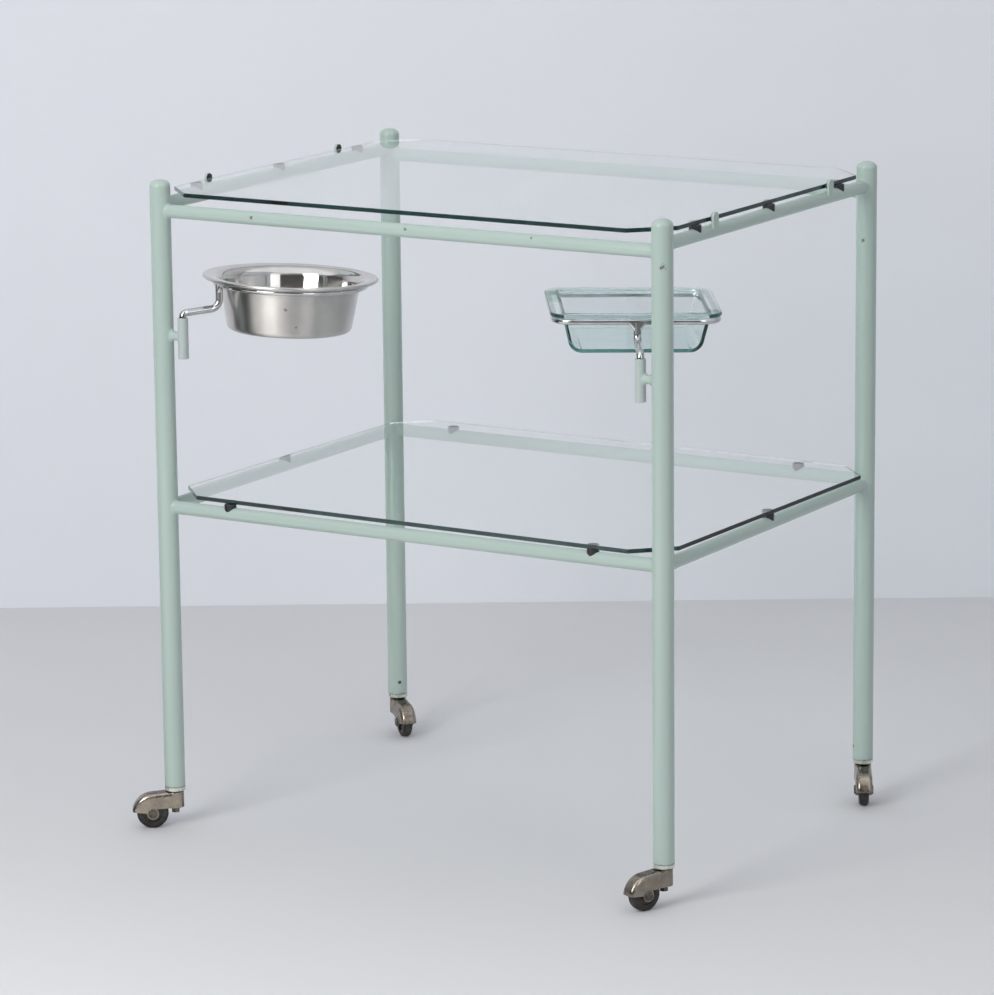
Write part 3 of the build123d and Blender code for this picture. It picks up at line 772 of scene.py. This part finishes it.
class TROLLEY_OT_finish_pads(bpy.types.Operator):
    """Makes the pads and buffers of the panes black rubber"""

    bl_idname = "trolley.finish_pads"
    bl_label = "Finish the pads"

    def execute(self, context):
        look = context.scene.trolley_rubber
        rubber = worn_finish(
            "pad_rubber", look.pad, shades=(1.6, 0.7), drift=90.0, gloss=(0.35, 0.6), wipe=160.0, grain=900.0
        )
        dress(rubber, PADS)
        self.buffers(rubber)
        return {"FINISHED"}

    def buffers(self, rubber):
        """Buttons between the lugs and the top pane, with facings that line the lugs"""
        low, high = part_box("stop_buffers")
        face = BUFFER_LENGTH - FACING_LENGTH
        button = [
            (0, 0),
            (BUTTON_RADIUS - BUTTON_ROUND, 0),
            (BUTTON_RADIUS, BUTTON_ROUND),
            (BUTTON_RADIUS, face),
            (0, face),
        ]
        facing = [(0, face), (FACING_RADIUS, face), (FACING_RADIUS, BUFFER_LENGTH), (0, BUFFER_LENGTH)]
        reach = high.x - BUFFER_LENGTH
        apart = high.y - BUTTON_RADIUS
        middle = (low.z + high.z) / 2
        raised = Matrix.Translation((0, 0, FACING_RISE))
        points = []
        faces = []
        for side in (-1, 1):
            turn = Matrix.Rotation(QUARTER_TURN * side, 4, "Y")
            for y in (-apart, apart):
                place = Matrix.Translation((side * reach, y, middle)) @ turn
                turned(points, faces, button, place)
                turned(points, faces, facing, raised @ place)
        stand_in("stop_buffers_lined", points, faces, rubber, "stop_buffers")


class TROLLEY_OT_finish_castors(bpy.types.Operator):
    """Finishes the nickel hoods, pale ferrules, dark pins and black wheels"""

    bl_idname = "trolley.finish_castors"
    bl_label = "Finish the castors"

    def execute(self, context):
        metal = context.scene.trolley_metal
        rubber = context.scene.trolley_rubber
        ferrule = worn_finish(
            "ferrule_steel", metal.ferrule, shades=(1.05, 0.75), drift=120.0, gloss=(0.22, 0.45), wipe=130.0,
            grain=300.0, metallic=0.5,
        )
        pin = worn_finish(
            "dark_steel", metal.dark_steel, shades=(1.4, 0.6), drift=210.0, gloss=(0.3, 0.6), wipe=190.0,
            grain=600.0, metallic=0.9,
        )
        dress(self.nickel(metal.nickel), HOODS)
        dress(ferrule, ["castor_ferrules"])
        dress(pin, DARK_STEEL)
        dress(self.black("wheel_hub", rubber.hub, (0.3, 0.55)), HUBS)
        dress(self.black("tyre_rubber", rubber.tyre, (0.4, 0.7)), TYRES)
        return {"FINISHED"}

    def nickel(self, colour):
        """Worn warm nickel plating over cast hoods, with a painted dark reflection on their tops"""
        material, tree, shader, spot = new_material("castor_nickel")
        tone = toned(tree, spot, colour, light=1.1, dark=0.78, scale=60.0)
        # Painted dark reflection: faces that turn up are darkened, as the hoods' tops look dark where they
        # mirror the room
        dark_top_reflection = stretched(tree, upward(tree), *DARK_TOP_SPAN)
        tone = blended(tree, dark_top_reflection, tone, rgba(colour, gain=0.4))
        pits = specked(tree, spot, scale=420.0, size=0.14, rarity=0.92)
        lumps = sums(tree, "SUBTRACT", noise(tree, spot, 190.0), sums(tree, "MULTIPLY", pits, PIT_DEPTH))
        wire(
            tree, shader,
            Base_Color=blended(tree, pits, tone, rgba(colour, gain=0.25)),
            Metallic=1.0,
            Roughness=smeared(tree, spot, scale=110.0, smooth=0.20, matt=0.37),
            Normal=bumped(tree, lumps, depth=0.00025, strength=0.4),
        )
        return material

    def black(self, name, colour, gloss):
        """Dusty black of a tyre or wheel disc"""
        return worn_finish(
            name, colour, shades=(2.2, 0.8), drift=130.0, gloss=gloss, wipe=150.0,
            grain=800.0, depth=0.0003, detail=3.0,
        )


# Stage and camera

def mirrored(tree):
    """1 for rays that a shiny surface throws back, and 0 for those that come straight or through glass"""
    path = put(tree, "ShaderNodeLightPath")
    straight = sums(tree, "SUBTRACT", 1.0, path.outputs["Is Transmission Ray"])
    return sums(tree, "MULTIPLY", path.outputs["Is Glossy Ray"], straight)


def start_plane(name):
    """A plane of the stage's size at the origin"""
    bpy.ops.object.select_all(action="DESELECT")
    bpy.ops.mesh.primitive_plane_add(size=STAGE_SIZE)
    plane = bpy.context.object
    plane.name = name
    return plane


def matt_paint(name, colour):
    """Matt plaster or floor paint with a slight unevenness, and its tone"""
    material, tree, shader, spot = new_material(name)
    tone = toned(tree, spot, colour, light=1.01, dark=0.985, scale=1.4)
    wire(tree, shader, Base_Color=tone, Roughness=0.7, Specular_IOR_Level=0.25)
    return material, tree, shader, spot, tone


def lamp(name, place, target, power, width, height):
    """A large soft lamp"""
    bpy.ops.object.light_add(type="AREA", location=place)
    light = bpy.context.object
    light.name = name
    light.data.shape = "RECTANGLE"
    light.data.size = width
    light.data.size_y = height
    light.data.energy = power
    light.rotation_euler = (Vector(target) - Vector(place)).to_track_quat("-Z", "Y").to_euler()


class TROLLEY_OT_set_stage(bpy.types.Operator):
    """Lays the floor, puts up the wall behind and lights the room softly"""

    bl_idname = "trolley.set_stage"
    bl_label = "Set the stage"

    def execute(self, context):
        look = context.scene.trolley_stage
        floor = start_plane("floor")
        floor.data.materials.append(self.floor_paint(look))
        wall = start_plane("wall")
        upright = Matrix.Rotation(QUARTER_TURN, 4, "X")
        set_back = Matrix.Translation((0, look.wall_gap, 0))
        wall.data.transform(Matrix.Rotation(look.wall_turn, 4, "Z") @ set_back @ upright)
        wall.data.materials.append(self.plaster(look))
        for name, power, place, target, width, height in LAMPS:
            lamp(name, place, target, getattr(look, power), width, height)
        self.room(context, look)
        context.scene.view_settings.view_transform = "Standard"
        context.scene.cycles.max_bounces = BOUNCES
        context.scene.cycles.transmission_bounces = BOUNCES
        context.scene.cycles.glossy_bounces = BOUNCES
        return {"FINISHED"}

    def plaster(self, look):
        """Wall that is clear from behind, so that it never hides the trolley"""
        material, tree, shader, _, _ = matt_paint("wall_plaster", look.wall)
        behind = put(tree, "ShaderNodeNewGeometry").outputs["Backfacing"]
        clear_where(tree, behind, shader, (1, 1, 1, 1))
        return material

    def floor_paint(self, look):
        """Floor with painted light, paler towards the front; reflections see it painted dim to the left and
        far away, and painted lit and glowing in front
        """
        material, tree, shader, spot, tone = matt_paint("floor_paint", look.floor)
        # Painted light: the floor is made paler towards the camera, nearer the lamps
        front = stretched(tree, vector_sums(tree, "DOT_PRODUCT", spot, TO_CAMERA), *FRONT_LIGHT_SPAN)
        tone = blended(tree, front, tone, rgba(look.floor, FRONT_LIGHT_GAIN))
        way = vector_sums(tree, "NORMALIZE", vector_sums(tree, "SUBTRACT", spot, BELOW_BASIN))
        left = stretched(tree, vector_sums(tree, "DOT_PRODUCT", way, DIM_FLOOR_WAY), *DIM_FLOOR_SPAN)
        far = stretched(tree, vector_sums(tree, "LENGTH", spot), *FAR_SPAN, 0.0, FAR_DIMMING)
        lit = stretched(tree, vector_sums(tree, "DOT_PRODUCT", way, LIT_FLOOR_WAY), *LIT_FLOOR_SPAN)
        # Painted reflections: what shiny surfaces see of the floor is darkened to the left and far away, and
        # brightened and made to glow in front
        glossy = mirrored(tree)
        dim = sums(tree, "MULTIPLY", sums(tree, "MAXIMUM", left, far), glossy)
        lit = sums(tree, "MULTIPLY", lit, glossy)
        tone = blended(tree, lit, tone, LIT_FLOOR)
        wire(
            tree, shader,
            Base_Color=blended(tree, dim, tone, rgba(look.floor, DIM_FLOOR)),
            Emission_Color=LIT_GLOW,
            Emission_Strength=sums(tree, "MULTIPLY", lit, LIT_STRENGTH),
        )
        return material

    def room(self, context, look):
        """Pale room light from all round; reflections see its dim ends and its windows"""
        world = bpy.data.worlds.new("pale_room")
        context.scene.world = world
        world.use_nodes = True
        tree = world.node_tree
        tree.nodes.clear()
        way = put(tree, "ShaderNodeTexCoord").outputs["Generated"]
        dim = 0.0
        for middle, start, full in DIM_ENDS:
            near = vector_sums(tree, "DOT_PRODUCT", way, middle)
            dim = sums(tree, "MAXIMUM", dim, stretched(tree, near, start, full))
        level = vector_sums(tree, "NORMALIZE", vector_sums(tree, "MULTIPLY", way, LEVEL))
        raised = stretched(tree, rise_of(tree, way), *SILL)
        glow = 0.0
        for bearing, half_width in WINDOWS:
            near = vector_sums(tree, "DOT_PRODUCT", level, (math.cos(bearing), math.sin(bearing), 0))
            side = math.cos(half_width)
            pane = sums(tree, "MULTIPLY", stretched(tree, near, side - SIDE_BLUR, side), raised)
            glow = sums(tree, "MAXIMUM", glow, pane)
        glossy = mirrored(tree)
        tone = blended(tree, sums(tree, "MULTIPLY", dim, glossy), ROOM_TONE, DIM_TONE)
        tone = blended(tree, sums(tree, "MULTIPLY", glow, glossy), tone, WINDOW_TONE)
        path = put(tree, "ShaderNodeLightPath")
        seen = sums(tree, "MAXIMUM", path.outputs["Is Camera Ray"], path.outputs["Is Glossy Ray"])
        seen = sums(tree, "MAXIMUM", seen, path.outputs["Is Transmission Ray"])
        light = put(tree, "ShaderNodeBackground", {"Color": ROOM_LIGHT, "Strength": look.room})
        shown = put(tree, "ShaderNodeBackground", {"Color": tone, "Strength": 1.0})
        mix = put(tree, "ShaderNodeMixShader", {0: seen, 1: light.outputs[0], 2: shown.outputs[0]})
        put(tree, "ShaderNodeOutputWorld", {"Surface": mix.outputs[0]})


class TROLLEY_OT_set_camera(bpy.types.Operator):
    """Stands the camera where the photograph was taken"""

    bl_idname = "trolley.set_camera"
    bl_label = "Set the camera"

    def execute(self, context):
        look = context.scene.trolley_camera
        bpy.ops.object.camera_add()
        camera = bpy.context.object
        camera.name = "photo_camera"
        turn = Matrix.Rotation(look.azimuth, 4, "Z")
        tilt = Matrix.Rotation(QUARTER_TURN - look.elevation, 4, "X")
        lean = Matrix.Rotation(look.roll, 4, "Z")
        camera.matrix_world = Matrix.Translation(look.place) @ turn @ tilt @ lean
        camera.data.sensor_width = SENSOR
        camera.data.lens = look.lens
        camera.data.clip_end = FAR_CLIP
        context.scene.camera = camera
        return {"FINISHED"}


class TROLLEY_PT_steps(bpy.types.Panel):
    """Steps that finish the trolley"""

    bl_idname = "TROLLEY_PT_steps"
    bl_label = "Medical trolley"
    bl_space_type = "VIEW_3D"
    bl_region_type = "UI"
    bl_category = "Trolley"

    def draw(self, context):
        for step in STEPS:
            self.layout.operator(step.bl_idname)
        for name, group in SETTINGS:
            part = getattr(context.scene, name)
            box = self.layout.box()
            box.label(text=group.__doc__)
            for key in group.__annotations__:
                box.prop(part, key)


STEPS = (
    TROLLEY_OT_set_camera,
    TROLLEY_OT_set_stage,
    TROLLEY_OT_paint_frame,
    TROLLEY_OT_glaze_shelves,
    TROLLEY_OT_polish_rods,
    TROLLEY_OT_finish_basin,
    TROLLEY_OT_cast_dish,
    TROLLEY_OT_finish_pads,
    TROLLEY_OT_finish_castors,
)
SETTINGS = (
    ("trolley_paint", PaintSettings),
    ("trolley_metal", MetalSettings),
    ("trolley_glass", GlassSettings),
    ("trolley_rubber", RubberSettings),
    ("trolley_stage", StageSettings),
    ("trolley_camera", CameraSettings),
)


def register():
    for name, group in SETTINGS:
        bpy.utils.register_class(group)
        setattr(bpy.types.Scene, name, bpy.props.PointerProperty(type=group))
    for step in STEPS:
        bpy.utils.register_class(step)
    bpy.utils.register_class(TROLLEY_PT_steps)


def unregister():
    bpy.utils.unregister_class(TROLLEY_PT_steps)
    for step in reversed(STEPS):
        bpy.utils.unregister_class(step)
    for name, group in reversed(SETTINGS):
        delattr(bpy.types.Scene, name)
        bpy.utils.unregister_class(group)


def main():
    register()
    bpy.ops.trolley.set_camera()
    bpy.ops.trolley.set_stage()
    bpy.ops.trolley.paint_frame()
    bpy.ops.trolley.glaze_shelves()
    bpy.ops.trolley.polish_rods()
    bpy.ops.trolley.finish_basin()
    bpy.ops.trolley.cast_dish()
    bpy.ops.trolley.finish_pads()
    bpy.ops.trolley.finish_castors()


if __name__ == "__main__":
    main()
